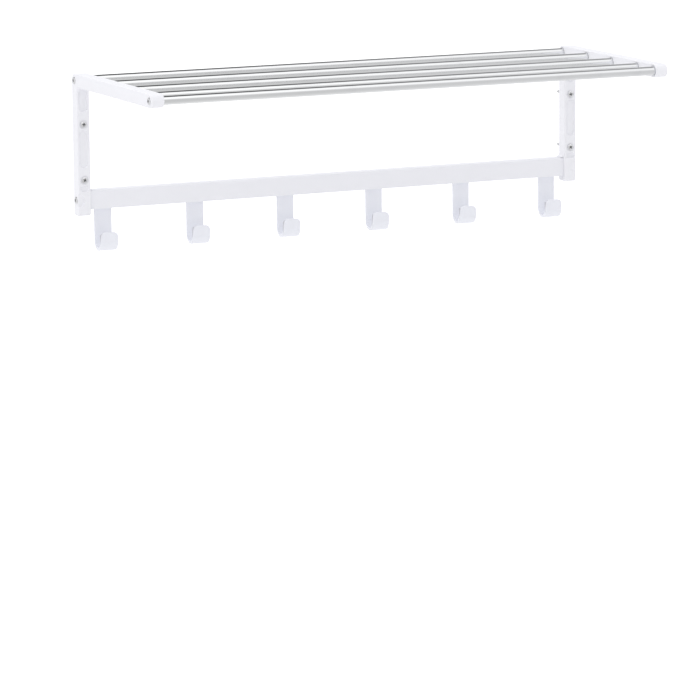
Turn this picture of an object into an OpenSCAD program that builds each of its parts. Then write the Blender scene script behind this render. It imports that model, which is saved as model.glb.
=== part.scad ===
// Wall-mounted hat shelf with a row of sliding hooks under a rail.
// +X runs along the shelf, +Y into the wall and +Z up. The origin is on the wall
// plane, midway between the four wall screws.

/* [Overall] */
// Width over the outer faces of the two brackets
rack_w = 800; // [600:1:1000]
// Depth from the wall to the noses of the brackets
shelf_d = 305; // [240:1:360]
// Height of the arms' centre line above the origin
arm_z = 102.7; // [85:0.1:125]
// Depth of the legs' lower ends below the origin
leg_drop = 92; // [88:0.5:115]

/* [Brackets] */
// Thickness of a bracket, along the shelf
bracket_t = 19; // [17:0.5:24]
// Height of the arm
arm_h = 19.5; // [18:0.5:24]
// Depth of the leg, from the wall to its front face
leg_d = 20; // [19:0.5:25]
// Radius of the leg's lower corners
foot_r = 4; // [1:0.5:6]
// Radius in the corner between the leg and the arm
corner_r = 3; // [1:0.5:8]
// Width of the recessed pockets in the leg's front face
pocket_w = 13; // [8:0.5:14]
// Depth of the pockets
pocket_depth = 2.5; // [2:0.5:8]
// Land left under each wall screw's centre
land_below = 8; // [7:0.5:9]
// Land left above each wall screw's centre
land_above = 18; // [8:0.5:22]
// Height of the small pocket below the lower land
low_pocket_h = 9; // [4:0.5:9]
// Solid left between the upper pocket and the arm
pocket_top_gap = 2; // [1:0.5:6]
// Radius of the scoop in the leg's front face, level with the rail's screw
scoop_r = 9.5; // [6:0.5:10]
// Depth of that scoop
scoop_depth = 1.5; // [0.5:0.25:2]

/* [Shelf tubes] */
// Outside diameter of a tube
tube_d = 12.7; // [10:0.1:13.4]
// Wall of a tube
tube_wall = 1.2; // [0.8:0.1:1.5]
// Distance between the four rear tubes
tube_pitch = 78; // [66:0.5:80]
// Number of evenly spaced tubes, counted from the wall
rear_tubes = 4;
// Distance of the rear tube's axis from the wall
rear_axis = 11; // [10:0.5:14]
// Depth of the blind socket that holds a tube's end
socket_depth = 8; // [5:0.5:10]
// Radial clearance of a tube in its socket
socket_gap = 0.1; // [0.05:0.05:0.3]
// Gap between a tube's end and the socket's floor
tube_end_gap = 0.4; // [0.1:0.1:1]
// Diameter of the shallow relief round a tube's socket
relief_d = 14.4; // [13.6:0.1:17]
// Diameter of the relief round the front tube's socket
front_relief_d = 15.4; // [13.6:0.1:18]
// Depth of the reliefs
relief_depth = 1; // [0.5:0.1:2]

/* [Hook rail] */
// Height of the rail
rail_h = 28; // [26:0.5:31]
// Depth of the rail, from back to front
rail_d = 15; // [14.5:0.5:17]
// Wall of the rail
rail_wall = 1.5; // [1.2:0.1:2]
// Distance of the rail's centre line below the origin
rail_drop = 69.5; // [68:0.5:72]
// Gap between the rail's back and the wall
rail_back = 0.5; // [0.2:0.1:1.5]
// Radius of the rail's upper front edge
rail_edge_r = 3.5; // [2:0.5:5]
// Depth of the recess in each bracket that takes the rail's end
rail_seat = 3; // [1:0.5:5]
// Clearance of the rail in its recess
rail_gap = 0.2; // [0.1:0.05:0.5]
// Radius of the fillet on the bracket above the rail
gusset_r = 4; // [1:0.5:8]
// Thickness of that fillet's thin edge
gusset_lip = 0.5; // [0.3:0.1:1.5]

/* [Hooks] */
// Number of hooks
hook_count = 6;
// Distance between neighbouring hooks
hook_pitch = 143; // [90:1:148]
// Width of a hook
hook_w = 26.5; // [18:0.5:30]
// Thickness of a hook's shank
hook_t = 3; // [2:0.1:3.5]
// Clear radius inside the hook's bend
throat_r = 10; // [7:0.5:14]
// Thickness of the upturned tip
tip_t = 5; // [3:0.5:7]
// Distance of the bend's centre below the origin
bend_drop = 130; // [122:1:150]
// Height of the tip above the bend's centre
tip_rise = 14; // [8:0.5:18]
// Radius of the tip's two upper corners
tip_corner_r = 7; // [2:0.5:9]
// Length of the foot that rides on the rail's lip
foot_l = 10; // [7:0.5:10.5]
// Clearance of the shank in the rail's slot, on each side
slide_gap = 0.4; // [0.3:0.05:0.6]

/* [Screws and plugs] */
// Shank diameter of the screws that go into the tubes and the rail
bolt_d = 5; // [4:0.5:5]
// Head diameter of those screws
bolt_head_d = 10.5; // [9:0.5:12]
// Head height of those screws
bolt_head_h = 1.8; // [1.4:0.1:3]
// Length of the threaded plugs in the tubes
plug_l = 14; // [9:0.5:25]
// Length of the threaded plugs in the rail's ends
rail_plug_l = 8.5; // [6:0.5:8.5]
// Gap between a screw's tip and the far face of its plug
tip_gap = 1; // [0.5:0.5:2]
// Radial clearance of a screw in its threaded plug
thread_gap = 0.05; // [0.02:0.01:0.1]
// Clearance of a plug inside its tube or rail
plug_gap = 0.05; // [0.02:0.01:0.15]
// Radial clearance of a screw in a bracket
hole_gap = 0.25; // [0.1:0.05:0.6]
// Vertical distance between the two wall screws of a bracket
wall_screw_span = 80; // [74:1:84]
// Thread diameter of the wall screws
wall_screw_d = 5; // [4:0.5:5.5]
// Diameter of the wall screws' smooth neck, inside the bracket
wall_neck_d = 4.4; // [3.4:0.2:5.2]
// Head diameter of the wall screws
wall_head_d = 9.6; // [8.5:0.1:10.5]
// Head height of the wall screws
wall_head_h = 2.8; // [2:0.1:3.5]
// Length of the wall screws behind the bracket
wall_screw_l = 25; // [25:1:60]
// Diameter of the shallow seat round a wall screw's head
seat_d = 12; // [11:0.5:13]
// Depth of that seat
seat_depth = 0.8; // [0.3:0.1:2]
// Diameter of the driver's cross recess in a screw head
cross_d = 5; // [3:0.5:6]
// Width of the recess's slots
cross_w = 1.2; // [0.8:0.1:1.5]
// Depth of the recess
cross_depth = 1.2; // [0.6:0.1:1.4]

/* [Hidden] */
$fn = 64;
skin = 0.01;
x_out = -rack_w / 2;
x_in = x_out + bracket_t;
front_axis = shelf_d - arm_h / 2;
tube_axes = concat([for (i = [0 : rear_tubes - 1]) rear_axis + i * tube_pitch], [front_axis]);
tube_len = 2 * (-x_in + socket_depth - tube_end_gap);
bore_d = tube_d - 2 * tube_wall;
wall_screw_x = x_out + bracket_t / 2;
rail_x0 = x_in - rail_seat + rail_gap;
rail_len = -2 * rail_x0;
rail_z0 = -rail_drop - rail_h / 2;
rail_screw_y = rear_axis;
slot_y0 = rail_back + rail_wall;
slot_w = hook_t + 2 * slide_gap;
shank_y = slot_y0 + slide_gap;
foot_lift = 0.3;
foot_z0 = rail_z0 + rail_wall + foot_lift;
bend_outer_r = throat_r + (hook_t + tip_t) / 2;
throat_y = shank_y + hook_t + throat_r;
bend_y = shank_y + bend_outer_r;
white = [0.93, 0.93, 0.95];
hook_white = [0.9, 0.9, 0.94];
chrome = [0.78, 0.79, 0.8];
zinc = [0.66, 0.67, 0.69];

// Cylinder along X that starts at x, at a distance y from the wall and a height z
module along_x(x, y, z, d, h) {
    translate([x, -y, z]) rotate([0, 90, 0]) cylinder(d = d, h = h);
}

// Draws its child on the left (side = -1) or mirrors it to the right (side = 1)
module on_side(side) {
    mirror([side > 0 ? 1 : 0, 0, 0]) children();
}

// ---- Brackets: a horizontal arm and a vertical leg cast in one piece ----

module bracket_arm() {
    along_x(x_out, front_axis, arm_z, arm_h, bracket_t);
    along_x(x_out, arm_h / 2, arm_z, arm_h, bracket_t);
    translate([x_out, -front_axis, arm_z - arm_h / 2])
        cube([bracket_t, front_axis - arm_h / 2, arm_h]);
}

module bracket_leg() {
    translate([x_out, -leg_d, -leg_drop + foot_r]) cube([bracket_t, leg_d, leg_drop - foot_r + arm_z]);
    translate([x_out, -leg_d + foot_r, -leg_drop]) cube([bracket_t, leg_d - 2 * foot_r, foot_r]);
    for (y = [foot_r, leg_d - foot_r]) along_x(x_out, y, -leg_drop + foot_r, 2 * foot_r, bracket_t);
}

module arm_corner() {
    z = arm_z - arm_h / 2 - corner_r;
    difference() {
        translate([x_out, -leg_d - corner_r, z]) cube([bracket_t, corner_r + 1, corner_r + 1]);
        along_x(x_out - 1, leg_d + corner_r, z, 2 * corner_r, bracket_t + 2);
    }
}

module rail_gusset() {
    z = rail_z0 + rail_h + rail_gap;
    difference() {
        translate([x_in - 1, -rail_back - rail_d, z]) cube([gusset_r + 1, rail_d, gusset_r + gusset_lip]);
        translate([x_in + gusset_r, 1, z + gusset_lip + gusset_r])
            rotate([90, 0, 0]) cylinder(r = gusset_r, h = rail_d + rail_back + 2);
    }
}

// Slot-shaped pocket in the leg's front face, between two heights
module leg_pocket(z0, z1) {
    h = z1 - z0;
    r = min(pocket_w, h) / 2;
    dx = pocket_w / 2 - r;
    dz = h / 2 - r;
    translate([wall_screw_x, -leg_d + pocket_depth, (z0 + z1) / 2]) rotate([90, 0, 0]) {
        for (x = [-dx, dx], z = [-dz, dz]) translate([x, z, 0]) cylinder(r = r, h = pocket_depth + 1);
        if (dz > 0) translate([-r, -dz, 0]) cube([2 * r, 2 * dz, pocket_depth + 1]);
        if (dx > 0) translate([-dx, -r, 0]) cube([2 * dx, 2 * r, pocket_depth + 1]);
    }
}

// Shallow round scoop that is open at the leg's outer front edge
module leg_scoop() {
    translate([x_out, -leg_d + scoop_depth, -rail_drop])
        rotate([90, 0, 0]) cylinder(r = scoop_r, h = scoop_depth + 1);
}

module wall_screw_hole(z) {
    translate([wall_screw_x, 1, z])
        rotate([90, 0, 0]) cylinder(d = wall_screw_d + 2 * hole_gap, h = leg_d + 2);
    translate([wall_screw_x, -leg_d + seat_depth, z])
        rotate([90, 0, 0]) cylinder(d = seat_d, h = seat_depth + 1);
}

module tube_socket(axis, ring_d) {
    along_x(x_in - socket_depth, axis, arm_z, tube_d + 2 * socket_gap, socket_depth + 1);
    along_x(x_in - relief_depth, axis, arm_z, ring_d, relief_depth + 1);
}

// Recess that follows the rail's section and is open towards the wall
module rail_recess() {
    rail_block(x_in - rail_seat, rail_seat + 1, -rail_gap);
    translate([x_in - rail_seat, -rail_back - rail_wall, rail_z0 - rail_gap])
        cube([rail_seat + 1, rail_back + rail_wall + 1, rail_h + 2 * rail_gap]);
}

module bracket() {
    half = wall_screw_span / 2;
    difference() {
        union() {
            bracket_arm();
            bracket_leg();
            arm_corner();
            rail_gusset();
        }
        leg_pocket(half + land_above, arm_z - arm_h / 2 - pocket_top_gap);
        leg_pocket(-half + land_above, half - land_below);
        leg_pocket(-half - land_below - low_pocket_h, -half - land_below);
        leg_scoop();
        for (z = [-half, half]) wall_screw_hole(z);
        for (axis = tube_axes) tube_socket(axis, axis == front_axis ? front_relief_d : relief_d);
        for (axis = [rear_axis, front_axis])
            along_x(x_out - 1, axis, arm_z, bolt_d + 2 * hole_gap, bracket_t);
        along_x(x_out - 1, rail_screw_y, -rail_drop, bolt_d + 2 * hole_gap, bracket_t);
        rail_recess();
    }
}

module bracket_left() { color(white) on_side(-1) bracket(); }
module bracket_right() { color(white) on_side(1) bracket(); }

// ---- Shelf tubes and the threaded plugs in the ends of the outer two ----

module shelf_tube(i) {
    color(chrome) difference() {
        along_x(-tube_len / 2, tube_axes[i], arm_z, tube_d, tube_len);
        along_x(-tube_len / 2 - 1, tube_axes[i], arm_z, bore_d, tube_len + 2);
    }
}

module tube_plug(side, axis) {
    color(zinc) on_side(side) difference() {
        along_x(-tube_len / 2, axis, arm_z, bore_d - 2 * plug_gap, plug_l);
        along_x(-tube_len / 2 - 1, axis, arm_z, bolt_d + 2 * thread_gap, plug_l + 2);
    }
}

// ---- Hook rail: a box section, open along its underside, and its end plugs ----

module rail_block(x, length, inset) {
    y = rail_back + inset;
    r = rail_edge_r - inset;
    d = rail_d - 2 * inset;
    h = rail_h - 2 * inset;
    z = rail_z0 + inset;
    difference() {
        translate([x, -y - d, z]) cube([length, d, h]);
        translate([x - 1, -y - d - skin, z + h - r]) cube([length + 2, r + skin, r + skin]);
    }
    along_x(x, y + d - r, z + h - r, 2 * r, length);
}

module hook_rail() {
    color(white) difference() {
        rail_block(rail_x0, rail_len, 0);
        rail_block(rail_x0 - 1, rail_len + 2, rail_wall);
        translate([rail_x0 - 1, -slot_y0 - slot_w, rail_z0 - 1]) cube([rail_len + 2, slot_w, rail_wall + 2]);
    }
}

module rail_plug(side) {
    color(zinc) on_side(side) difference() {
        rail_block(rail_x0, rail_plug_l, rail_wall + plug_gap);
        along_x(rail_x0 - 1, rail_screw_y, -rail_drop, bolt_d + 2 * thread_gap, rail_plug_l + 2);
    }
}

// ---- Hooks: a foot that rides on the rail's lip, a shank, a bend and a tip ----

module hook_foot(x) {
    r = hook_t;
    z1 = foot_z0 + hook_t;
    translate([x, -shank_y - foot_l, foot_z0]) cube([hook_w, foot_l - r, hook_t]);
    translate([x, -shank_y - hook_t, -bend_drop]) cube([hook_w, hook_t, z1 - r + bend_drop]);
    intersection() {
        along_x(x, shank_y + r, z1 - r, 2 * r, hook_w);
        translate([x, -shank_y - r, z1 - r]) cube([hook_w, r, r]);
    }
}

module hook_bend(x) {
    difference() {
        along_x(x, bend_y, -bend_drop, 2 * bend_outer_r, hook_w);
        along_x(x - 1, throat_y, -bend_drop, 2 * throat_r, hook_w + 2);
        translate([x - 1, -bend_y - bend_outer_r - 1, -bend_drop])
            cube([hook_w + 2, 2 * bend_outer_r + 2, bend_outer_r + 1]);
    }
}

// Upturned tip with a full-round top edge and rounded upper corners
module hook_tip(x) {
    y = throat_y + throat_r;
    top = -bend_drop + tip_rise;
    difference() {
        union() {
            translate([x, -y - tip_t, -bend_drop]) cube([hook_w, tip_t, tip_rise - tip_t / 2]);
            along_x(x, y + tip_t / 2, top - tip_t / 2, tip_t, hook_w);
        }
        for (end = [0, 1]) {
            cx = x + (end == 0 ? tip_corner_r : hook_w - tip_corner_r);
            difference() {
                translate([end == 0 ? x - 1 : cx, -y - tip_t - 1, top - tip_corner_r])
                    cube([tip_corner_r + 1, tip_t + 2, tip_corner_r + 1]);
                translate([cx, -y + 2, top - tip_corner_r])
                    rotate([90, 0, 0]) cylinder(r = tip_corner_r, h = tip_t + 4);
            }
        }
    }
}

module hook(i) {
    x = (i - (hook_count + 1) / 2) * hook_pitch - hook_w / 2;
    color(hook_white) union() {
        hook_foot(x);
        hook_bend(x);
        hook_tip(x);
    }
}

// ---- Screws ----

// Low round head above z = 0 with a cross recess, and a shank below it
module screw(head_d, head_h, shank_d, shank_l) {
    edge = head_h * 0.45;
    difference() {
        union() {
            rotate_extrude() polygon([
                [0, 0], [head_d / 2, 0], [head_d / 2, head_h - edge],
                [head_d / 2 - edge, head_h], [0, head_h]
            ]);
            translate([0, 0, -shank_l]) cylinder(d = shank_d, h = shank_l + skin);
        }
        for (turn = [0, 90]) rotate([0, 0, turn])
            translate([-cross_d / 2, -cross_w / 2, head_h - cross_depth])
                cube([cross_d, cross_w, cross_depth + 1]);
    }
}

module tube_screw(side, axis) {
    shank_l = bracket_t - socket_depth + tube_end_gap + plug_l - tip_gap;
    color(chrome) on_side(side) translate([x_out, -axis, arm_z]) rotate([0, -90, 0])
        screw(bolt_head_d, bolt_head_h, bolt_d, shank_l);
}

module rail_screw(side) {
    shank_l = bracket_t - rail_seat + rail_gap + rail_plug_l - tip_gap;
    color(chrome) on_side(side) translate([x_out, -rail_screw_y, -rail_drop]) rotate([0, -90, 0])
        screw(bolt_head_d, bolt_head_h, bolt_d, shank_l);
}

// A neck through the bracket, a thread that starts at the wall, and a point
module wall_screw(side, level) {
    neck_l = leg_d - seat_depth;
    point_l = wall_screw_d * 1.6;
    color(chrome) on_side(side) translate([wall_screw_x, -neck_l, level * wall_screw_span / 2])
        rotate([90, 0, 0]) {
            screw(wall_head_d, wall_head_h, wall_neck_d, neck_l);
            translate([0, 0, -neck_l - wall_screw_l + point_l])
                cylinder(d = wall_screw_d, h = wall_screw_l - point_l);
            translate([0, 0, -neck_l - wall_screw_l])
                cylinder(d1 = wall_screw_d / 5, d2 = wall_screw_d, h = point_l);
        }
}

bracket_left();
bracket_right();
for (i = [1 : rear_tubes + 1])
    shelf_tube(i - 1);
tube_plug(-1, rear_axis);  // tube_plug_rear_left
tube_plug(1, rear_axis);  // tube_plug_rear_right
tube_plug(-1, front_axis);  // tube_plug_front_left
tube_plug(1, front_axis);  // tube_plug_front_right
hook_rail();
rail_plug(-1);  // rail_plug_left
rail_plug(1);  // rail_plug_right
for (i = [1 : hook_count])
    hook(i);
tube_screw(-1, rear_axis);  // tube_screw_rear_left
tube_screw(1, rear_axis);  // tube_screw_rear_right
tube_screw(-1, front_axis);  // tube_screw_front_left
tube_screw(1, front_axis);  // tube_screw_front_right
rail_screw(-1);  // rail_screw_left
rail_screw(1);  // rail_screw_right
wall_screw(-1, 1);  // wall_screw_upper_left
wall_screw(-1, -1);  // wall_screw_lower_left
wall_screw(1, 1);  // wall_screw_upper_right
wall_screw(1, -1);  // wall_screw_lower_right
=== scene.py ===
import math

import bmesh
import bpy
from mathutils import Matrix, Vector


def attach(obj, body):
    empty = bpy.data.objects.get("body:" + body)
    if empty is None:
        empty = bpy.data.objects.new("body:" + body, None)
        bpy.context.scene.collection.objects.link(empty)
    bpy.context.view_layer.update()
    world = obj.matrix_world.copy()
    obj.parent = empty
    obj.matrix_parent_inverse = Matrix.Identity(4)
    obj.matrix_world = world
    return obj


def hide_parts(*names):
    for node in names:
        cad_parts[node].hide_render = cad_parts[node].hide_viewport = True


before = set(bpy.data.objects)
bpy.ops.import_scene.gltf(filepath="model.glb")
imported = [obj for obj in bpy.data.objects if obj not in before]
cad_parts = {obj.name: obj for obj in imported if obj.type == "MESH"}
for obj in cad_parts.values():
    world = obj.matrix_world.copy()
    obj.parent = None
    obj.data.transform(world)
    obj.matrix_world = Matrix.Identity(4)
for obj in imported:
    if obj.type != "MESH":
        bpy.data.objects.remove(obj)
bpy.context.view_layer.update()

# ---- Camera, floor and studio ----
# A hat shelf with a hook rail that hangs on a wall, seen from its left and a little above,
# over a pale studio floor and in even light from a large white tent.

MM = 0.001
CAMERA_AZ, CAMERA_EL, CAMERA_ROLL = (math.radians(v) for v in (24.57, 10.09, -0.44))
CAMERA_AIM = Vector((-21.63, -120.0, -300.25)) * MM
CAMERA_DISTANCE = 6.26862
CAMERA_LENS = 221.96
FLOOR_Z = -1.65
FLOOR_HALF = 40.0
FLOOR_ALBEDO = 0.90
FLOOR_GLOW = 0.35
BLACK, WHITE = (0.0, 0.0, 0.0, 1.0), (1.0, 1.0, 1.0, 1.0)

look = Vector((math.cos(CAMERA_EL) * math.sin(CAMERA_AZ),
               math.cos(CAMERA_EL) * math.cos(CAMERA_AZ),
               -math.sin(CAMERA_EL)))
level_right = Vector((math.cos(CAMERA_AZ), -math.sin(CAMERA_AZ), 0.0))
level_up = level_right.cross(look)
right = math.cos(CAMERA_ROLL) * level_right + math.sin(CAMERA_ROLL) * level_up
up = -math.sin(CAMERA_ROLL) * level_right + math.cos(CAMERA_ROLL) * level_up

camera_data = bpy.data.cameras.new("studio_camera")
camera_data.lens = CAMERA_LENS
camera_data.sensor_width = 36.0
camera_data.clip_start = 0.05
camera_data.clip_end = 100.0
camera = bpy.data.objects.new("studio_camera", camera_data)
bpy.context.scene.collection.objects.link(camera)
camera.matrix_world = Matrix.Translation(CAMERA_AIM - look * CAMERA_DISTANCE) @ Matrix(
    (right, up, -look)).transposed().to_4x4()
bpy.context.scene.camera = camera
bpy.context.scene.view_settings.view_transform = "Standard"


class Wire:
    """One socket in a node tree. Sums on wires and numbers add Math nodes."""

    def __init__(self, tree, socket=None):
        self.tree = tree
        self.socket = socket

    def node(self, kind, settings=(), sockets=(), out=0):
        """Adds a node with its settings and its sockets' values or wires. Returns one output."""
        made = self.tree.nodes.new(kind)
        for name, value in dict(settings).items():
            if name == "stops":
                stops = made.color_ramp.elements
                stops.remove(stops[-1])
                stops[0].position, stops[0].color = value[0][0], (*value[0][1], 1.0)
                for place, colour in value[1:]:
                    stops.new(place).color = (*colour, 1.0)
            else:
                setattr(made, name, value)
        for name, value in dict(sockets).items():
            if isinstance(value, Wire):
                self.tree.links.new(value.socket, made.inputs[name])
            else:
                made.inputs[name].default_value = value
        return Wire(self.tree, made.outputs[out] if len(made.outputs) else None)

    def maths(self, operation, *values):
        return self.node("ShaderNodeMath", {"operation": operation}, dict(enumerate(values)))

    def __add__(self, other):
        return self.maths("ADD", self, other)

    def __sub__(self, other):
        return self.maths("SUBTRACT", self, other)

    def __rsub__(self, other):
        return self.maths("SUBTRACT", other, self)

    def __mul__(self, other):
        return self.maths("MULTIPLY", self, other)

    __radd__ = __add__
    __rmul__ = __mul__

    def mix(self, colour_a, colour_b):
        """Colour A where this wire is 0, colour B where it is 1."""
        return self.node("ShaderNodeMix", {"data_type": "RGBA"},
                         {0: self, 6: colour_a, 7: colour_b}, out=2)


floor_mesh = bpy.data.meshes.new("studio_floor")
floor_mesh.from_pydata([(-FLOOR_HALF, -FLOOR_HALF, FLOOR_Z), (FLOOR_HALF, -FLOOR_HALF, FLOOR_Z),
                        (FLOOR_HALF, FLOOR_HALF, FLOOR_Z), (-FLOOR_HALF, FLOOR_HALF, FLOOR_Z)],
                       [], [(0, 1, 2, 3)])
floor = bpy.data.objects.new("studio_floor", floor_mesh)
bpy.context.scene.collection.objects.link(floor)
floor_paper = bpy.data.materials.new("floor_paper")
floor_paper.use_nodes = True
floor_shader = floor_paper.node_tree.nodes["Principled BSDF"]
floor_shader.inputs["Base Color"].default_value = (FLOOR_ALBEDO, FLOOR_ALBEDO, FLOOR_ALBEDO, 1.0)
floor_shader.inputs["Roughness"].default_value = 0.9
floor_shader.inputs["Specular IOR Level"].default_value = 0.0
# The paper's glow shows to the camera only. It keeps the floor white and lights nothing.
floor_glow = Wire(floor_paper.node_tree).node("ShaderNodeLightPath", out="Is Camera Ray")
floor_glow = floor_glow.mix(BLACK, WHITE)
floor_paper.node_tree.links.new(floor_glow.socket, floor_shader.inputs["Emission Color"])
floor_shader.inputs["Emission Strength"].default_value = FLOOR_GLOW
floor_mesh.materials.append(floor_paper)
floor.visible_glossy = False

# What the polished tubes mirror, by angle round the tubes: 0 faces the room, 90 the ceiling and
# 180 the wall behind. A bright softbox overhead is followed by a dark gap, then by the wall.
MIRROR_BRIGHTNESS = (
    (-180, 0.72), (-150, 0.84), (-104, 0.90), (-68, 0.73), (-36, 0.66), (-4, 0.63),
    (17, 0.70), (30, 0.95), (40, 1.2), (82, 1.2), (90, 0.6),
    (97, 0.12), (104, 0.02), (130, 0.02), (145, 0.5), (180, 0.8))
MIRROR_PEAK = 1.2
MIRROR_SIDE_START, MIRROR_SIDE_END, MIRROR_SIDE_MIX = 0.34, 0.52, 0.5
MIRROR_SIDE_TONE = (0.78, 0.78, 0.80, 1.0)
TENT_WHITE = 0.81
TENT_LEFT_GAIN = 0.045
TENT_TOP_GAIN = 0.45
TENT_FRONT_LOSS = 0.205
TENT_BLUE = 1.012
SOFTBOX_AIM = Vector((0.0, -0.12, 0.0))

world = bpy.data.worlds.new("white_tent")
bpy.context.scene.world = world
world.use_nodes = True
world.node_tree.nodes.clear()
sky = Wire(world.node_tree)
direction = sky.node("ShaderNodeSeparateXYZ", (),
                     {0: sky.node("ShaderNodeTexCoord", out=0)})
dir_x, dir_y, dir_z = (Wire(sky.tree, s) for s in direction.socket.node.outputs)
round_tubes = sky.maths("ARCTAN2", dir_z, dir_y * -1.0) * (1 / math.tau) + 0.5
mirror_stops = [((angle + 180) / 360, (tone / MIRROR_PEAK,) * 3)
                for angle, tone in MIRROR_BRIGHTNESS]
mirror_tone = sky.node("ShaderNodeValToRGB", {"stops": mirror_stops}, {0: round_tubes})
mirror_tone = sky.node("ShaderNodeVectorMath", {"operation": "MULTIPLY"},
                       {0: mirror_tone, 1: (MIRROR_PEAK,) * 3})
off_side = sky.node("ShaderNodeMapRange", {"interpolation_type": "SMOOTHSTEP"},
                    {0: sky.maths("ABSOLUTE", dir_x), 1: MIRROR_SIDE_START, 2: MIRROR_SIDE_END,
                     3: 0.0, 4: MIRROR_SIDE_MIX})
mirror = off_side.mix(mirror_tone, MIRROR_SIDE_TONE)
tent_tone = (TENT_WHITE - dir_x * TENT_LEFT_GAIN + dir_z * TENT_TOP_GAIN
             + dir_y * TENT_FRONT_LOSS)
tent = sky.node("ShaderNodeCombineColor", (),
                {0: tent_tone, 1: tent_tone, 2: tent_tone * TENT_BLUE})
glossy_ray = sky.node("ShaderNodeLightPath", out="Is Glossy Ray")
camera_ray = sky.node("ShaderNodeLightPath", out="Is Camera Ray")
seen = camera_ray.mix(glossy_ray.mix(tent, mirror), WHITE)
background = sky.node("ShaderNodeBackground", (), {0: seen, 1: 1.0})
sky.node("ShaderNodeOutputWorld", (), {0: background})

for light_name, place, size, power in (
        ("softbox_left", (-3.2, -3.0, 1.8), 2.6, 8.0),
        ("softbox_top", (0.6, -1.2, 3.4), 3.0, 5.0)):
    softbox_data = bpy.data.lights.new(light_name, "AREA")
    softbox_data.size = size
    softbox_data.energy = power
    softbox = bpy.data.objects.new(light_name, softbox_data)
    bpy.context.scene.collection.objects.link(softbox)
    facing = (SOFTBOX_AIM - Vector(place)).to_track_quat("-Z", "Y")
    softbox.matrix_world = Matrix.Translation(place) @ facing.to_matrix().to_4x4()
    softbox.visible_glossy = False


# ---- Brackets ----
# Each is one aluminium casting: an arm that carries the shelf tubes, and a leg that stands on
# the wall with pockets in its front face. The edges are tumbled round and the whole casting is
# powder coated satin white before the parts are screwed together.

RACK_HALF = 400.0
INNER_X = 381.0
BRACKET_MID_X = 390.5
LEG_DEPTH = 20.0
NOSE_Y = 304.97
ARM_Z, ARM_TOP, ARM_BOTTOM, ARM_ROUND = 102.7, 112.45, 92.95, 9.75
ARMPIT_R = 3.0
LEG_BOTTOM, FOOT_R, FOOT_INNER_R = -92.0, 4.0, 3.2
TUBE_AXES = (11.0, 89.0, 167.0, 245.0, 295.25)
BRACKET_EDGE = 1.5
GUSSET_R, GUSSET_LIP, GUSSET_Z = 4.0, 0.5, -55.3
GUSSET_FRONT, GUSSET_BACK, GUSSET_ROOT = -15.5, -0.6, 2.0
POCKETS_Z = ((58.0, 90.95), (-22.0, 32.0), (-57.0, -48.0))
POCKET_HALF, POCKET_DEPTH, POCKET_RIM, POCKET_FILLET = 6.5, 2.5, 0.9, 1.5
SCOOP_R, SCOOP_DEPTH, SCOOP_RIM, SCOOP_FILLET = 9.5, 1.5, 0.4, 1.0
SEAT_R, SEAT_DEPTH = 6.0, 0.8
RELIEF_R, FRONT_RELIEF_R, RELIEF_DEPTH = 7.2, 7.7, 1.0
SMALL_RIM, SMALL_FILLET = 0.3, 0.2
SOCKET_R, SOCKET_DEPTH = 6.45, 8.0
RECESS_DEPTH = 3.0
SCREW_HOLE_R = 2.75
THROUGH_SIDE, THROUGH_LEG = 20.0, 22.0
WALL_SCREW_Z = 40.0
RAIL_SCREW_Y, RAIL_SCREW_Z = -11.0, -69.5


def outline(corners, arc_step=7.5):
    """Points and outward normals round a closed shape with corners (a, b, radius)."""
    count = len(corners)
    area = sum(corners[i - 1][0] * corners[i][1] - corners[i][0] * corners[i - 1][1]
               for i in range(count))
    hand = 1 if area > 0 else -1
    points = []
    for i, (a, b, radius) in enumerate(corners):
        here = Vector((a, b))
        came = (here - Vector(corners[i - 1][:2])).normalized()
        goes = (Vector(corners[(i + 1) % count][:2]) - here).normalized()
        first = Vector((came.y, -came.x)) * hand
        last = Vector((goes.y, -goes.x)) * hand
        turn = math.atan2(first.x * last.y - first.y * last.x, first.dot(last))
        bulge = 1 if turn * hand > 0 else -1
        centre = here - (first + last) * (bulge * radius / (1 + first.dot(last)))
        steps = max(2, math.ceil(abs(math.degrees(turn)) / arc_step))
        for step in range(steps + 1):
            angle = turn * step / steps
            normal = Vector((first.x * math.cos(angle) - first.y * math.sin(angle),
                             first.x * math.sin(angle) + first.y * math.cos(angle)))
            point = centre + normal * (bulge * radius)
            if not points or (point - points[-1][0]).length > 1e-4:
                points.append((point, normal))
    if (points[0][0] - points[-1][0]).length < 1e-4:
        points.pop()
    return points


def circle(a, b, radius, sides=48):
    """Points and outward normals round a circle."""
    normals = [Vector((math.cos(math.tau * i / sides), math.sin(math.tau * i / sides)))
               for i in range(sides)]
    return [(Vector((a, b)) + n * radius, n) for n in normals]


def loft(shape, stations, place):
    """A closed solid through copies of an outline, each at a depth and grown by an outset."""
    shell = bmesh.new()
    rings = [[shell.verts.new(place(p.x + grow * n.x, p.y + grow * n.y, depth))
              for p, n in shape] for depth, grow in stations]
    for ring, following in zip(rings, rings[1:]):
        for i in range(len(ring)):
            j = (i + 1) % len(ring)
            shell.faces.new((ring[i], ring[j], following[j], following[i]))
    shell.faces.new(rings[0])
    shell.faces.new(list(reversed(rings[-1])))
    bmesh.ops.recalc_face_normals(shell, faces=shell.faces)
    return shell


def across(a, b, depth):
    """An outline drawn in Y and Z, with its depth along X."""
    return depth, a, b


def rounded_ends(low, high, edge, steps=4):
    """Stations from low to high whose two ends are rounded by edge."""
    quarter = [math.pi / 2 * k / steps for k in range(steps + 1)]
    rise = [(low + edge * (1 - math.sin(t)), -edge * (1 - math.cos(t))) for t in reversed(quarter)]
    return rise + [(low + high - depth, grow) for depth, grow in reversed(rise)]


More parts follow.
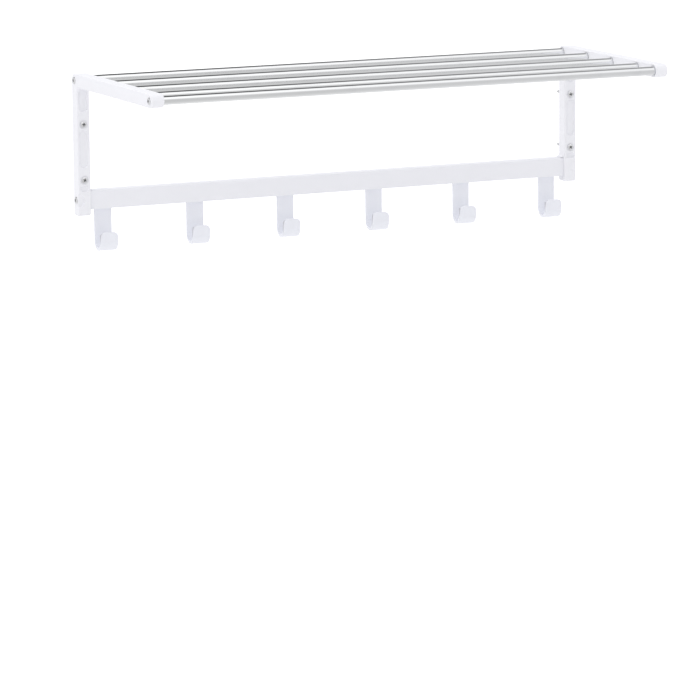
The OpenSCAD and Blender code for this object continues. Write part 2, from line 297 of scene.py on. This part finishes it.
def sunk(depth, rim, floor, steps=4):
    """Stations of a recess: a rounded rim at 0, straight sides and a filleted floor."""
    quarter = [math.pi / 2 * k / steps for k in range(steps + 1)]
    down = [(rim * (1 - math.cos(t)), rim * (1 - math.sin(t))) for t in quarter]
    bottom = [(depth - floor * (1 - math.sin(t)), -floor * (1 - math.cos(t))) for t in quarter]
    return [(-1.0, rim)] + down + bottom


def carve(body, tool, operation="DIFFERENCE"):
    """The body less the tool, or both as one. Frees the two it was given."""
    blanks = []
    for shell in (body, tool):
        mesh = bpy.data.meshes.new("blank")
        shell.to_mesh(mesh)
        shell.free()
        blank = bpy.data.objects.new("blank", mesh)
        bpy.context.scene.collection.objects.link(blank)
        blanks.append(blank)
    cut = blanks[0].modifiers.new("cut", "BOOLEAN")
    cut.operation = operation
    cut.solver = "EXACT"
    cut.object = blanks[1]
    result = bmesh.new()
    result.from_object(blanks[0], bpy.context.evaluated_depsgraph_get())
    for blank in blanks:
        mesh = blank.data
        bpy.data.objects.remove(blank)
        bpy.data.meshes.remove(mesh)
    bmesh.ops.remove_doubles(result, verts=result.verts, dist=1e-4)
    return result


def fitted(node, make, mesh, body):
    """Puts a finished mesh in the scene, named for its CAD node and how it is made."""
    piece = bpy.data.objects.new(f"{node}_{make}", mesh)
    bpy.context.scene.collection.objects.link(piece)
    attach(piece, body)
    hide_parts(node)
    return piece


def finished_mesh(name, shell, paint, crease=32.0):
    """Turns a shell in millimetres into a plain mesh in metres, with flat faces shaded flat."""
    bmesh.ops.scale(shell, vec=(MM, MM, MM), verts=shell.verts)
    mesh = bpy.data.meshes.new(name)
    shell.to_mesh(mesh)
    shell.free()
    mesh.polygons.foreach_set("use_smooth", [True] * len(mesh.polygons))
    mesh.set_sharp_from_angle(angle=math.radians(crease))
    mesh.materials.append(paint)
    carrier = bpy.data.objects.new(name, mesh)
    bpy.context.scene.collection.objects.link(carrier)
    weighted = carrier.modifiers.new("weighted", "WEIGHTED_NORMAL")
    weighted.keep_sharp = True
    weighted.weight = 100
    result = bpy.data.meshes.new_from_object(
        carrier.evaluated_get(bpy.context.evaluated_depsgraph_get()))
    bpy.data.objects.remove(carrier)
    bpy.data.meshes.remove(mesh)
    result.name = name
    return result


def new_finish(name):
    """A material, a wire for building its nodes, and its shader."""
    material = bpy.data.materials.new(name)
    material.use_nodes = True
    return material, Wire(material.node_tree), material.node_tree.nodes["Principled BSDF"]


def feed(board, shader, **wires):
    """Links wires to the shader's sockets of those names, with _ for a space."""
    for name, wire in wires.items():
        board.tree.links.new(wire.socket, shader.inputs[name.replace("_", " ")])


def powder_coat(name, colour, shade, die_lines=0.0, rubbed=None):
    """Satin powder coat: orange peel, patches of slightly other gloss, and fine dust nibs.

    Die lines show through by that much, and a band rubbed glossier has a level and a half height.
    """
    material, board, shader = new_finish(name)
    place = board.node("ShaderNodeTexCoord", out=3)
    peel = board.node("ShaderNodeTexNoise", (), {"Vector": place, "Scale": 620.0, "Detail": 3.0,
                                                  "Roughness": 0.55})
    fine = board.node("ShaderNodeTexNoise", (), {"Vector": place, "Scale": 2600.0, "Detail": 2.0})
    patch = board.node("ShaderNodeTexNoise", (), {"Vector": place, "Scale": 26.0, "Detail": 4.0,
                                                   "Roughness": 0.6})
    nibs = board.node("ShaderNodeTexVoronoi", {"feature": "F1"}, {"Vector": place, "Scale": 170.0})
    nib = board.node("ShaderNodeMapRange", {"interpolation_type": "SMOOTHSTEP"},
                     {0: nibs, 1: 0.02, 2: 0.07, 3: 1.0, 4: 0.0})
    height = peel + fine * 0.25 + nib * 0.5
    if die_lines:
        stretched = board.node("ShaderNodeMapping", (), {"Vector": place,
                                                         "Scale": (3.0, 900.0, 900.0)})
        height = height + board.node("ShaderNodeTexNoise", (), {
            "Vector": stretched, "Scale": 1.0, "Detail": 2.0}) * die_lines
    gloss = 0.36 + patch * 0.14 + nib * 0.05
    if rubbed:
        z_mid, z_half = rubbed
        z = board.node("ShaderNodeSeparateXYZ", (), {0: place}, out=2)
        band = board.node("ShaderNodeMapRange", {"interpolation_type": "SMOOTHSTEP"}, {
            0: board.maths("ABSOLUTE", z - z_mid * MM), 1: 0.0, 2: z_half * MM, 3: 1.0, 4: 0.0})
        gloss = gloss - band * patch * 0.16
    shader.inputs["Specular IOR Level"].default_value = 0.05
    bump = board.node("ShaderNodeBump", (), {"Strength": 0.16, "Distance": 0.00008,
                                             "Height": height})
    feed(board, shader, Base_Color=patch.mix((*colour, 1.0), (*shade, 1.0)), Roughness=gloss,
         Normal=bump)
    return material


bracket_paint = powder_coat("bracket_paint", (0.893, 0.894, 0.925), (0.874, 0.875, 0.910))

body = loft(outline([(0.0, ARM_TOP, ARM_ROUND), (-NOSE_Y, ARM_TOP, ARM_ROUND),
                     (-NOSE_Y, ARM_BOTTOM, ARM_ROUND), (-LEG_DEPTH, ARM_BOTTOM, ARMPIT_R),
                     (-LEG_DEPTH, LEG_BOTTOM, FOOT_R), (0.0, LEG_BOTTOM, FOOT_R)]),
            rounded_ends(-RACK_HALF, -INNER_X, BRACKET_EDGE), across)

def in_plan(a, b, depth):
    """An outline drawn in X and Z, with its depth along Y."""
    return a, depth, b


def plain(points):
    """An outline whose copies all have one size."""
    return [(Vector(point), Vector((0.0, 0.0))) for point in points]


# The fillet above the rail ends in a thin lip, and stands just clear of the rail.
quarter = [math.pi / 2 * k / 10 for k in range(11)]
gusset = [(-INNER_X - GUSSET_ROOT, GUSSET_Z), (-INNER_X + GUSSET_R, GUSSET_Z)]
gusset += [(-INNER_X + GUSSET_R - GUSSET_R * math.sin(t),
            GUSSET_Z + GUSSET_LIP + GUSSET_R * (1 - math.cos(t))) for t in quarter]
gusset += [(-INNER_X - GUSSET_ROOT, GUSSET_Z + GUSSET_LIP + GUSSET_R)]
body = carve(body, loft(plain(gusset), [(GUSSET_FRONT, 0.0), (GUSSET_BACK, 0.0)], in_plan), "UNION")

# The inner lower corner of the foot is rounded off, seen from the front.
corner = [(-INNER_X + 1.0, LEG_BOTTOM - 1.0), (-INNER_X + 1.0, LEG_BOTTOM + FOOT_INNER_R),
          (-INNER_X, LEG_BOTTOM + FOOT_INNER_R)]
corner += [(-INNER_X - FOOT_INNER_R + FOOT_INNER_R * math.cos(t),
            LEG_BOTTOM + FOOT_INNER_R - FOOT_INNER_R * math.sin(t)) for t in quarter[1:]]
corner += [(-INNER_X - FOOT_INNER_R, LEG_BOTTOM - 1.0)]
body = carve(body, loft(plain(corner), [(-LEG_DEPTH - 5.0, 0.0), (5.0, 0.0)], in_plan))


def in_leg_front(a, b, depth):
    """An outline drawn in X and Z, sunk into the leg's front face."""
    return a, depth - LEG_DEPTH, b


def in_inner_side(a, b, depth):
    """An outline drawn in Y and Z, sunk into the bracket's inner side."""
    return -INNER_X - depth, a, b


cutters = []
for z_low, z_high in POCKETS_Z:
    round_r = min(POCKET_HALF, (z_high - z_low) / 2) - 1e-3
    x_low, x_high = -BRACKET_MID_X - POCKET_HALF, -BRACKET_MID_X + POCKET_HALF
    cutters.append(loft(outline([(x_low, z_low, round_r), (x_high, z_low, round_r),
                                 (x_high, z_high, round_r), (x_low, z_high, round_r)]),
                        sunk(POCKET_DEPTH, POCKET_RIM, POCKET_FILLET), in_leg_front))
# A shallow scoop in the front face, open at the outer edge, level with the rail's screw.
cutters.append(loft(circle(-RACK_HALF, RAIL_SCREW_Z, SCOOP_R, 72),
                    sunk(SCOOP_DEPTH, SCOOP_RIM, SCOOP_FILLET), in_leg_front))
for level in (WALL_SCREW_Z, -WALL_SCREW_Z):
    stations = sunk(SEAT_DEPTH, SMALL_RIM, SMALL_FILLET)
    stations += [(depth, SCREW_HOLE_R - SEAT_R) for depth in (SEAT_DEPTH, THROUGH_LEG)]
    cutters.append(loft(circle(-BRACKET_MID_X, level, SEAT_R), stations, in_leg_front))
for axis in TUBE_AXES:
    relief = FRONT_RELIEF_R if axis == TUBE_AXES[-1] else RELIEF_R
    stations = sunk(RELIEF_DEPTH, SMALL_RIM, SMALL_FILLET)
    stations += [(depth, SOCKET_R - relief) for depth in (RELIEF_DEPTH, SOCKET_DEPTH)]
    if axis in (TUBE_AXES[0], TUBE_AXES[-1]):
        stations += [(depth, SCREW_HOLE_R - relief) for depth in (SOCKET_DEPTH, THROUGH_SIDE)]
    cutters.append(loft(circle(-axis, ARM_Z, relief), stations, in_inner_side))
for cutter in cutters:
    body = carve(body, cutter)

# The rail's end sits in a recess of its own section that is open towards the wall.
recess = outline([(1.0, -83.7, 0.3), (-15.7, -83.7, 0.6), (-15.7, -55.3, 3.7), (1.0, -55.3, 0.3)])
body = carve(body, loft(recess, [(-1.0, 0.0), (RECESS_DEPTH, 0.0)], in_inner_side))
body = carve(body, loft(circle(RAIL_SCREW_Y, RAIL_SCREW_Z, SCREW_HOLE_R),
                        [(1.0, 0.0), (THROUGH_SIDE, 0.0)], in_inner_side))
other_side = body.copy()
bmesh.ops.scale(other_side, vec=(-1.0, 1.0, 1.0), verts=other_side.verts)
bmesh.ops.reverse_faces(other_side, faces=other_side.faces)
for side_name, shell in (("left", body), ("right", other_side)):
    name = "bracket_" + side_name
    fitted(name, "casting", finished_mesh(name, shell, bracket_paint), "rack")


# ---- Shelf tubes ----
# Five lengths of thin steel tube, cut square, deburred and bright chrome plated. Their ends sit
# in the sockets of the arms, and the rear and front ones are pulled up by the brackets' screws.

TUBE_D, TUBE_WALL, TUBE_LENGTH, TUBE_EDGE = 12.7, 1.2, 777.2, 0.3


def named_tree(name, inputs):
    """A Geometry Nodes tree with those named inputs, and a wire for each."""
    tree = bpy.data.node_groups.new(name, "GeometryNodeTree")
    for label, kind in {"Geometry": "Geometry", **inputs}.items():
        tree.interface.new_socket(label, in_out="INPUT", socket_type="NodeSocket" + kind)
    tree.interface.new_socket("Geometry", in_out="OUTPUT", socket_type="NodeSocketGeometry")
    entry = tree.nodes.new("NodeGroupInput")
    return tree, {s.name: Wire(tree, s) for s in entry.outputs if s.name}


def end_tree(wires, shape, crease=32.0):
    """Ends a tree: smooth but for its creases, instances made real, and the finish set."""
    angle = shape.node("GeometryNodeInputMeshEdgeAngle")
    smooth = shape.node("FunctionNodeCompare", {"data_type": "FLOAT", "operation": "LESS_THAN"},
                        {0: angle, 1: math.radians(crease)})
    shape = shape.node("GeometryNodeRealizeInstances", (), {0: shape})
    shape = shape.node("GeometryNodeSetShadeSmooth", {"domain": "EDGE"}, {0: shape, 2: smooth})
    shape = shape.node("GeometryNodeSetShadeSmooth", {"domain": "FACE"}, {0: shape, 2: True})
    shape = shape.node("GeometryNodeSetMaterial", (), {0: shape, 2: wires["Finish"]})
    shape.node("NodeGroupOutput", (), {0: shape})


def grown(name, tree, values, start=None):
    """Runs a tree with its inputs set, on a start mesh or none. Returns a plain mesh."""
    start = start or bpy.data.meshes.new(name)
    carrier = bpy.data.objects.new(name, start)
    bpy.context.scene.collection.objects.link(carrier)
    run = carrier.modifiers.new("grow", "NODES")
    run.node_group = tree
    for item in tree.interface.items_tree:
        if item.in_out == "INPUT" and item.name in values:
            run[item.identifier] = values[item.name]
    mesh = bpy.data.meshes.new_from_object(
        carrier.evaluated_get(bpy.context.evaluated_depsgraph_get()))
    carrier.modifiers.remove(run)
    bpy.data.objects.remove(carrier)
    mesh.name = name
    return mesh


tube_chrome, board, shader = new_finish("tube_chrome")
place = board.node("ShaderNodeTexCoord", out=3)
lengthwise = board.node("ShaderNodeMapping", (), {"Vector": place, "Scale": (9.0, 1500.0, 1500.0)})
streaks = board.node("ShaderNodeTexNoise", (), {"Vector": lengthwise, "Scale": 1.0, "Detail": 4.0,
                                                "Roughness": 0.6})
smudge = board.node("ShaderNodeTexNoise", (), {"Vector": place, "Scale": 22.0, "Detail": 5.0,
                                                "Roughness": 0.65})
haze = board.node("ShaderNodeMapRange", {"interpolation_type": "SMOOTHSTEP"},
                  {0: smudge, 1: 0.5, 2: 0.72, 3: 0.0, 4: 1.0})
shader.inputs["Metallic"].default_value = 1.0
feed(board, shader,
     Base_Color=haze.mix((0.86, 0.868, 0.876, 1.0), (0.82, 0.826, 0.838, 1.0)),
     Roughness=0.03 + streaks * 0.035 + haze * 0.04,
     Normal=board.node("ShaderNodeBump", (), {"Strength": 0.05, "Distance": 0.00002,
                                              "Height": streaks}))

tube_tree, w = named_tree("drawn_tube", {
    "Diameter": "Float", "Wall": "Float", "Length": "Float", "Edge radius": "Float",
    "Sides": "Int", "Place": "Vector", "Finish": "Material"})
start = w["Geometry"]
ring_path = start.node("GeometryNodeCurvePrimitiveCircle", {"mode": "RADIUS"}, {
    "Resolution": w["Sides"], "Radius": (w["Diameter"] - w["Wall"]) * 0.5})
wall_section = start.node("GeometryNodeCurvePrimitiveQuadrilateral", {"mode": "RECTANGLE"},
                          {"Width": w["Wall"], "Height": w["Length"]})
wall_section = start.node("GeometryNodeFilletCurve", (), {
    "Curve": wall_section, "Radius": w["Edge radius"]})
tube = start.node("GeometryNodeCurveToMesh", (), {"Curve": ring_path,
                                                  "Profile Curve": wall_section})
turned = start.node("FunctionNodeEulerToRotation", (), {0: (0.0, math.pi / 2, 0.0)})
tube = start.node("GeometryNodeTransform", (), {
    "Geometry": tube, "Translation": w["Place"], "Rotation": turned})
end_tree(w, tube)

for number, axis in enumerate(TUBE_AXES, 1):
    name = f"shelf_tube_{number}"
    fitted(name, "chromed", grown(name, tube_tree, {
        "Diameter": TUBE_D * MM, "Wall": TUBE_WALL * MM, "Length": TUBE_LENGTH * MM,
        "Edge radius": TUBE_EDGE * MM, "Sides": 96,
        "Place": (0.0, -axis * MM, ARM_Z * MM), "Finish": tube_chrome}),
        "rack")


# ---- Threaded plugs ----
# Short bars of turned zinc alloy, tapped for the screws and pressed into the ends of the rear
# and front tubes and of the rail. They stay bare, with the tool's rings round them.

plug_zinc, board, shader = new_finish("plug_zinc")
place = board.node("ShaderNodeTexCoord", out=3)
rings = board.node("ShaderNodeTexNoise", (), {
    "Vector": board.node("ShaderNodeMapping", (), {"Vector": place, "Scale": (2600.0, 60.0, 60.0)}),
    "Scale": 1.0, "Detail": 3.0})
stain = board.node("ShaderNodeTexNoise", (), {"Vector": place, "Scale": 260.0, "Detail": 4.0})
shader.inputs["Metallic"].default_value = 1.0
feed(board, shader, Base_Color=stain.mix((0.62, 0.63, 0.65, 1.0), (0.50, 0.51, 0.53, 1.0)),
     Roughness=0.32 + stain * 0.2 + rings * 0.1,
     Normal=board.node("ShaderNodeBump", (), {"Strength": 0.35, "Distance": 0.00005,
                                              "Height": rings}))
for name in ("tube_plug_rear_left", "tube_plug_rear_right", "tube_plug_front_left",
             "tube_plug_front_right", "rail_plug_left", "rail_plug_right"):
    for material_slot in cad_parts[name].material_slots:
        material_slot.material = plug_zinc


# ---- Hook rail ----
# An aluminium extrusion, a box section whose underside is slotted for the hooks. Its ends sit in
# the brackets' recesses and are screwed to the plugs inside it. Powder coated like the brackets.

RAIL_END, RAIL_DEBURR = 383.8, 0.25
rail_paint = powder_coat("rail_paint", (0.884, 0.887, 0.922), (0.865, 0.868, 0.906),
                         die_lines=0.5)
rail_section = outline([
    (-5.8, -83.5, 0.3), (-15.5, -83.5, 0.8), (-15.5, -55.5, 3.5), (-0.5, -55.5, 0.6),
    (-0.5, -83.5, 0.6), (-2.0, -83.5, 0.3), (-2.0, -57.0, 0.5), (-14.0, -57.0, 2.0),
    (-14.0, -82.0, 0.5), (-5.8, -82.0, 0.3)])
rail = loft(rail_section, rounded_ends(-RAIL_END, RAIL_END, RAIL_DEBURR, 2), across)
fitted("hook_rail", "extrusion", finished_mesh("hook_rail", rail, rail_paint), "rack")


# ---- Hooks ----
# Flat J-shaped hooks cast in zinc, with a bent foot that slides on the lip inside the rail, and
# a thick upturned tip with rounded corners. Powder coated, and rubbed glossier in the throat.

HOOK_PITCH = 143.0
HOOK_HALF = 13.25
HOOK_EDGE = 0.6
TIP_TOP_Z = -116.0
TIP_CORNER_R = 7.0
TIP_FROM_Y = -20.0
CORNER_STEP = 0.75
hook_paint = powder_coat("hook_paint", (0.872, 0.882, 0.930), (0.850, 0.861, 0.914),
                         rubbed=(-138.0, 16.0))
hook_outline = outline([
    (-12.4, -78.7, 0.8), (-2.4, -78.7, 3.0), (-2.4, -144.0, 14.0), (-30.4, -144.0, 14.0),
    (-30.4, TIP_TOP_Z, 2.5), (-25.4, TIP_TOP_Z, 2.5),
    (-25.4, -140.0, 10.0), (-5.4, -140.0, 10.0), (-5.4, -81.7, 0.4), (-12.4, -81.7, 0.8)])
# The tip's two long sides get more points where its corners are rounded.
tip_start = TIP_TOP_Z - TIP_CORNER_R
split = []
for i, (point, normal) in enumerate(hook_outline):
    split.append((point, normal))
    following = hook_outline[(i + 1) % len(hook_outline)][0]
    on_tip = min(point.x, following.x) < TIP_FROM_Y and abs(point.x - following.x) < 1e-3
    if on_tip and abs(point.y - following.y) > 4:
        levels = [tip_start + step * CORNER_STEP for step in range(6)]
        if following.y < point.y:
            levels.reverse()
        split += [(Vector((point.x, level)), normal) for level in levels]


def hook_place(centre):
    """An outline in Y and Z with its depth along X, drawn in at the tip's rounded corners."""
    def place(a, b, depth):
        reach = 1.0
        if a < TIP_FROM_Y and b > tip_start:
            climb = min(b - tip_start, TIP_CORNER_R)
            drawn_in = TIP_CORNER_R - math.sqrt(TIP_CORNER_R ** 2 - climb ** 2)
            reach = (HOOK_HALF - drawn_in) / HOOK_HALF
        return centre + depth * reach, a, b
    return place


for number in range(1, 7):
    name = f"hook_{number}"
    shell = loft(split, rounded_ends(-HOOK_HALF, HOOK_HALF, HOOK_EDGE, 4),
                 hook_place((number - 3.5) * HOOK_PITCH))
    fitted(name, "casting", finished_mesh(name, shell, hook_paint), name)


# ---- Screws ----
# Zinc-plated steel screws with low round heads and a cross recess, cold formed with rolled
# threads. Six clamp the rack together from its sides, and four hold it to the wall.

screw_steel, board, shader = new_finish("screw_steel")
place = board.node("ShaderNodeAttribute", {"attribute_name": "turned_place"}, out=1)
flattened = board.node("ShaderNodeVectorMath", {"operation": "MULTIPLY"},
                       {0: place, 1: (1.0, 1.0, 0.0)})
from_axis = board.node("ShaderNodeVectorMath", {"operation": "LENGTH"}, {0: flattened}, out=1)
turning = board.node("ShaderNodeTexNoise", {"noise_dimensions": "1D"},
                     {"W": from_axis, "Scale": 4200.0, "Detail": 3.0})
scratch = board.node("ShaderNodeTexNoise", (), {
    "Vector": board.node("ShaderNodeMapping", (), {"Vector": place, "Rotation": (0.3, 0.7, 0.5),
                                                    "Scale": (300.0, 4000.0, 4000.0)}),
    "Scale": 1.0, "Detail": 3.0})
plating = board.node("ShaderNodeTexNoise", (), {"Vector": place, "Scale": 520.0, "Detail": 4.0})
shader.inputs["Metallic"].default_value = 1.0
# Painted shade: the floor of the driver's recess is painted near black, as if it lay in deep
# shadow.
recess_shade = board.node("ShaderNodeAttribute", {"attribute_name": "recess_residue"}, out=2)
steel = plating.mix((0.90, 0.90, 0.91, 1.0), (0.80, 0.805, 0.82, 1.0))
feed(board, shader, Base_Color=recess_shade.mix(steel, (0.05, 0.05, 0.055, 1.0)),
     Roughness=0.1 + turning * 0.1 + scratch * 0.08,
     Normal=board.node("ShaderNodeBump", (), {"Strength": 0.25, "Distance": 0.00004,
                                              "Height": turning + scratch * 0.5}))

LATHE_R = 1.0 * MM
RECESS_LENGTH, RECESS_WIDTH, RECESS_REACH, RECESS_TALL = 5.0, 1.2, 2.8, 4.0
screw_tree, w = named_tree("turned_screw", {
    "Sides": "Int", "Recess length": "Float", "Recess width": "Float", "Recess floor": "Float",
    "Recess turn": "Float", "Thread start": "Float", "Thread length": "Float",
    "Point length": "Float", "Thread radius": "Float", "Point radius": "Float", "Pitch": "Float",
    "Thread depth": "Float", "Turn": "Vector", "Place": "Vector", "Finish": "Material"})
start = w["Geometry"]
lathe_path = start.node("GeometryNodeCurvePrimitiveCircle", {"mode": "RADIUS"},
                        {"Resolution": w["Sides"], "Radius": LATHE_R})
blank_profile = start.node("GeometryNodeMeshToCurve", (), {0: start})
blank = start.node("GeometryNodeCurveToMesh", (), {"Curve": lathe_path,
                                                   "Profile Curve": blank_profile})
blank = start.node("GeometryNodeMergeByDistance", (), {"Geometry": blank, "Distance": 1e-6})
wing = start.node("GeometryNodeMeshCube", (), {0: start.node("ShaderNodeCombineXYZ", (), {
    0: w["Recess length"], 1: w["Recess width"], 2: RECESS_TALL * MM})})
wing_points = start.node("GeometryNodePoints", (), {0: 2, 1: start.node(
    "ShaderNodeCombineXYZ", (), {2: w["Recess floor"] + RECESS_TALL / 2 * MM})})
wing_turn = start.node("GeometryNodeInputIndex") * (math.pi / 2) + w["Recess turn"]
wings = start.node("GeometryNodeInstanceOnPoints", (), {
    "Points": wing_points, "Instance": wing,
    "Rotation": start.node("FunctionNodeEulerToRotation", (), {
        0: start.node("ShaderNodeCombineXYZ", (), {2: wing_turn})})})
wings = start.node("GeometryNodeRealizeInstances", (), {0: wings})
blank = start.node("GeometryNodeMeshBoolean", {"operation": "DIFFERENCE", "solver": "EXACT"},
                   {"Mesh 1": blank, "Mesh 2": wings, "Self Intersection": True})
ridge_section = start.node("GeometryNodeCurvePrimitiveCircle", {"mode": "RADIUS"},
                           {"Resolution": 3, "Radius": w["Thread depth"]})


def ridge(low, length, first_r, last_r):
    """A thread's ridge that climbs down from low along that length."""
    coil = start.node("GeometryNodeCurveSpiral", (), {
        "Resolution": 24, "Rotations": length * start.maths("DIVIDE", 1.0, w["Pitch"]),
        "Start Radius": first_r, "End Radius": last_r, "Height": length})
    coil = start.node("GeometryNodeSetCurveNormal", {"mode": "Z_UP"}, {0: coil})
    coil = start.node("GeometryNodeCurveToMesh", (), {
        "Curve": coil, "Profile Curve": ridge_section, "Fill Caps": True})
    half_turn = start.node("FunctionNodeEulerToRotation", (), {0: (math.pi, 0.0, 0.0)})
    return start.node("GeometryNodeTransform", (), {
        "Geometry": coil, "Rotation": half_turn,
        "Translation": start.node("ShaderNodeCombineXYZ", (), {2: low})})


ridge_r = w["Thread radius"] - w["Thread depth"]
joined = start.tree.nodes.new("GeometryNodeJoinGeometry")
for part in (ridge(w["Thread start"], w["Thread length"], ridge_r, ridge_r),
             ridge(w["Thread start"] - w["Thread length"], w["Point length"], ridge_r,
                   w["Point radius"]), blank):
    start.tree.links.new(part.socket, joined.inputs[0])
per_point = {"data_type": "FLOAT_VECTOR", "domain": "POINT"}
screw = start.node("GeometryNodeStoreNamedAttribute", per_point, {
    "Geometry": Wire(start.tree, joined.outputs[0]), "Name": "turned_place",
    "Value": start.node("GeometryNodeInputPosition")})
# The floor of the driver's recess gets painted shade: it is marked here and painted near black by
# the steel's finish.
local = start.node("ShaderNodeSeparateXYZ", (), {0: start.node("GeometryNodeInputPosition")})
local_x, local_y, local_z = (Wire(start.tree, s) for s in local.socket.node.outputs)
on_floor = start.maths("COMPARE", local_z, w["Recess floor"], 0.05 * MM)
inside = start.maths("LESS_THAN", local_x * local_x + local_y * local_y, (RECESS_REACH * MM) ** 2)
screw = start.node("GeometryNodeStoreNamedAttribute", {**per_point, "data_type": "FLOAT"}, {
    "Geometry": screw, "Name": "recess_residue", "Value": on_floor * inside})
screw = start.node("GeometryNodeTransform", (), {
    "Geometry": screw, "Translation": w["Place"],
    "Rotation": start.node("FunctionNodeEulerToRotation", (), {0: w["Turn"]})})
end_tree(w, screw)


def turned_profile(name, points):
    """A half section in millimetres, from the head's top down to the tip, ready for the lathe."""
    mesh = bpy.data.meshes.new(name)
    mesh.from_pydata([(r * MM - LATHE_R, -h * MM, 0.0) for r, h in points],
                     [(i, i + 1) for i in range(len(points) - 1)], [])
    return mesh


def head_profile(radius, height, crown):
    """A low round head from its crown to the underside."""
    return [(0.0, height), (radius * 0.42, height - crown * 0.12),
            (radius * 0.68, height - crown * 0.42), (radius * 0.86, height - crown * 0.85),
            (radius * 0.955, height - crown * 1.35), (radius, height - crown * 2.0),
            (radius, 0.12), (radius - 0.12, 0.0)]


COMMON = {"Sides": 48, "Recess length": RECESS_LENGTH * MM, "Recess width": RECESS_WIDTH * MM,
          "Finish": screw_steel}
CLAMP_HEAD_R, CLAMP_HEAD_H, CLAMP_CROWN = 5.25, 1.8, 0.7
TUBE_SCREW_LENGTH, RAIL_SCREW_LENGTH = 24.4, 23.7
clamp_core, clamp_r = 2.1, 2.5
for side_name, side in (("left", -1), ("right", 1)):
    for part_name, y, z, length, turn in (
            ("tube_screw_rear_", -TUBE_AXES[0], ARM_Z, TUBE_SCREW_LENGTH, 0.35),
            ("tube_screw_front_", -TUBE_AXES[-1], ARM_Z, TUBE_SCREW_LENGTH, 1.1),
            ("rail_screw_", RAIL_SCREW_Y, RAIL_SCREW_Z, RAIL_SCREW_LENGTH, 0.7)):
        name = part_name + side_name
        profile = head_profile(CLAMP_HEAD_R, CLAMP_HEAD_H, CLAMP_CROWN) + [
            (clamp_r - 0.05, 0.0), (clamp_r - 0.05, -7.0), (clamp_core, -7.4),
            (clamp_core, -length + 0.8), (clamp_core - 0.7, -length), (0.0, -length)]
        fitted(name, "plated", grown(name, screw_tree, {
            **COMMON, "Recess floor": 0.6 * MM, "Recess turn": turn * side,
            "Thread start": -7.6 * MM, "Thread length": (length - 9.2) * MM,
            "Point length": 0.7 * MM, "Thread radius": clamp_r * MM,
            "Point radius": (clamp_core - 0.3) * MM, "Pitch": 0.8 * MM, "Thread depth": 0.28 * MM,
            "Turn": (0.0, side * math.pi / 2, 0.0),
            "Place": (side * RACK_HALF * MM, y * MM, z * MM)},
            turned_profile(name, profile)), "rack")

WALL_HEAD_R, WALL_HEAD_H, WALL_CROWN, WALL_NECK_R = 4.8, 2.8, 1.0, 2.2
WALL_REACH, WALL_POINT = 25.0, 8.0
wall_core, wall_r, seat_y = 1.75, 2.5, SEAT_DEPTH - LEG_DEPTH
for side_name, side in (("left", -1), ("right", 1)):
    for level_name, level, turn in (("upper_", WALL_SCREW_Z, 0.15),
                                    ("lower_", -WALL_SCREW_Z, 0.62)):
        name = "wall_screw_" + level_name + side_name
        profile = head_profile(WALL_HEAD_R, WALL_HEAD_H, WALL_CROWN) + [
            (WALL_NECK_R, 0.0), (WALL_NECK_R, seat_y), (wall_core, seat_y - 0.4),
            (wall_core, seat_y - WALL_REACH + WALL_POINT),
            (0.25, seat_y - WALL_REACH + 0.2), (0.0, seat_y - WALL_REACH)]
        fitted(name, "plated", grown(name, screw_tree, {
            **COMMON, "Recess floor": 1.6 * MM, "Recess turn": turn * side,
            "Thread start": (seat_y - 1.0) * MM, "Thread length": 16.0 * MM,
            "Point length": 7.0 * MM, "Thread radius": wall_r * MM, "Point radius": 0.3 * MM,
            "Pitch": 1.9 * MM, "Thread depth": 0.42 * MM, "Turn": (math.pi / 2, 0.0, 0.0),
            "Place": (side * BRACKET_MID_X * MM, seat_y * MM, level * MM)},
            turned_profile(name, profile)), "rack")
